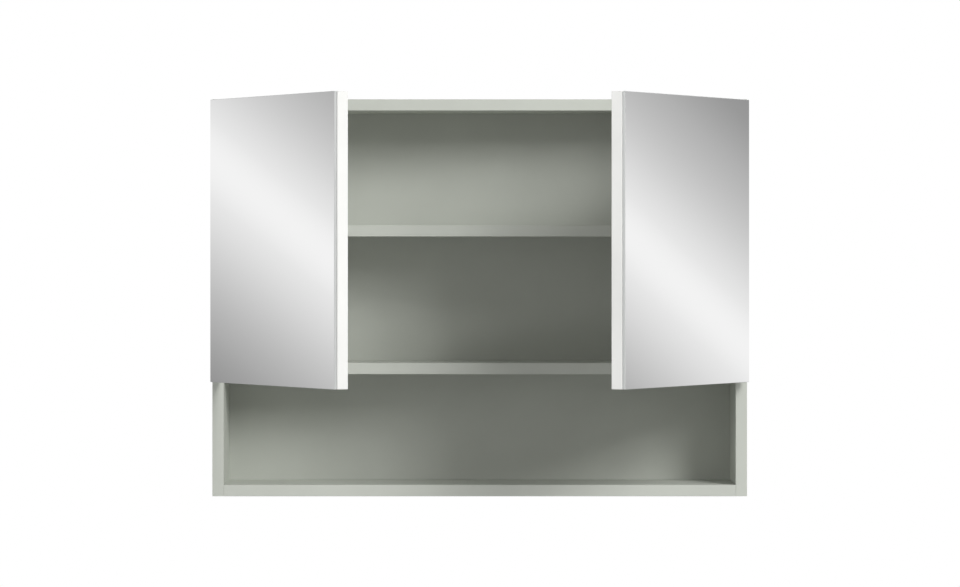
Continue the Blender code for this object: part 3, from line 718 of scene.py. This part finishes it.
def pale_floor():
    """Lit grey that keeps a shadow, seen whiter the farther out, and not seen from underneath.

    The mirrors show it less white, with soft bands that fade towards the wall.
    """
    pale = Finish("pale_floor", FLOOR_SEEN, roughness=0.9)
    rays = pale.node("ShaderNodeLightPath").outputs
    straight = pale.calculate("MAXIMUM", rays["Is Camera Ray"], rays["Is Transmission Ray"])
    pale.colour(pale.tint(straight, FLOOR_LIT, FLOOR_SEEN))
    distance = pale.measure("LENGTH", pale.place)
    bands = pale.span(soft_bands(pale), low=-0.17, high=0.17, start=-1.0, end=1.0)
    fade = pale.span(distance, low=1.0, high=0.0, start=5.0, end=FLOOR_RADIUS)
    level = pale.span(distance, low=0.1, high=0.76, start=2.0, end=FLOOR_RADIUS)
    mirrored = pale.calculate("MULTIPLY_ADD", bands, fade, level)
    mirrored = pale.calculate("MULTIPLY", rays["Is Glossy Ray"], mirrored)
    seen = pale.span(distance, low=0.74, high=1.0, start=1.2, end=4.5)
    seen = pale.calculate("MULTIPLY", straight, seen)
    white = pale.node("ShaderNodeEmission").outputs[0]
    upper = pale.blend(pale.calculate("MAXIMUM", seen, mirrored), pale.shader.outputs[0], white)
    underneath = pale.node("ShaderNodeNewGeometry").outputs["Backfacing"]
    clear = pale.node("ShaderNodeBsdfTransparent").outputs[0]
    pale.surface(pale.blend(underneath, upper, clear))
    return pale.material


def add_floor():
    """A pale round floor, well below the hanging cabinet."""
    shape = bmesh.new()
    bmesh.ops.create_circle(shape, cap_ends=True, segments=ROUND_STEPS, radius=FLOOR_RADIUS)
    bmesh.ops.translate(shape, vec=(0, 0, FLOOR_LEVEL), verts=shape.verts)
    add_stage("floor", shape, pale_floor())


def add_wall():
    """A round wall that only gloss and the mirrors show, with wide soft bands that fade at the floor."""
    shape = bmesh.new()
    bmesh.ops.create_cone(
        shape, cap_ends=False, segments=ROUND_STEPS,
        radius1=FLOOR_RADIUS, radius2=FLOOR_RADIUS, depth=WALL_HEIGHT,
    )
    bmesh.ops.translate(shape, vec=(0, 0, FLOOR_LEVEL + WALL_HEIGHT / 2), verts=shape.verts)
    wall = Look("studio_wall")
    bands = wall.span(soft_bands(wall), low=-0.32, high=0.17, start=-1.0, end=1.0)
    fade = wall.span(wall.along(UPWARD), low=0.15, high=1.0, start=FLOOR_LEVEL, end=0.6)
    wall.surface(wall.glow(wall.calculate("MULTIPLY_ADD", bands, fade, WALL_FOOT)))
    add_stage("studio_wall", shape, wall.material, mirrors_only=True)


def add_reflector(label, side):
    """A card beside the cabinet that a mirror shows at rest: one soft bright band across a grey fall-off.

    It is drawn where its mirror image stands, behind the door, and turned over into place.
    """
    middle, along, reach = CARDS[label]
    turn = door_turn(side)
    face = turn @ shut_point(side, MIRROR_POINT)
    normal = (turn.to_3x3() @ Vector((0, -1, 0))).normalized()
    flip = Matrix.Scale(-1, 4, normal)
    over = Matrix.Translation(face) @ flip @ Matrix.Translation(-face)
    image = Vector((middle[0], CARD_DEPTH, middle[1]))
    stand = Matrix.Translation(image) @ Matrix.Rotation(math.pi / 2, 4, "X")
    shape = bmesh.new()
    bmesh.ops.create_grid(shape, x_segments=1, y_segments=1, size=CARD_HALF)
    bmesh.ops.transform(shape, matrix=over @ stand, verts=shape.verts)
    card = Look(f"{label}_reflector")
    shift = card.node("ShaderNodeVectorMath", operation="SUBTRACT")
    card.feed(shift, (card.place, over @ image))
    offset = shift.outputs["Vector"]
    across = flip.to_3x3() @ Vector((-along[1], 0, along[0]))
    away = card.measure("DOT_PRODUCT", offset, across)
    band = card.glow(card.ramp(card.span(away, low=0.0, high=1.0, start=-reach, end=reach), BAND_LEVELS))
    fade_start, fade_end = CARD_FADE
    fade = card.span(card.measure("LENGTH", offset), low=0.0, high=1.0, start=fade_start, end=fade_end)
    clear = card.node("ShaderNodeBsdfTransparent").outputs[0]
    card.surface(card.blend(fade, band, clear))
    add_stage(f"{label}_reflector", shape, card.material, mirrors_only=True)


dress_nodes()
fill_joints()
for label, side in SIDES.items():
    make_mirror(label)
    dress_door(label, side)
    fit_screws(label, side)
    round_bumpers(label, side)

add_camera()
add_world()
for name, lamp in LAMPS.items():
    add_lamp(name, *lamp)
add_floor()
add_wall()
for label, side in SIDES.items():
    add_reflector(label, side)
bpy.context.scene.view_settings.view_transform = "Standard"
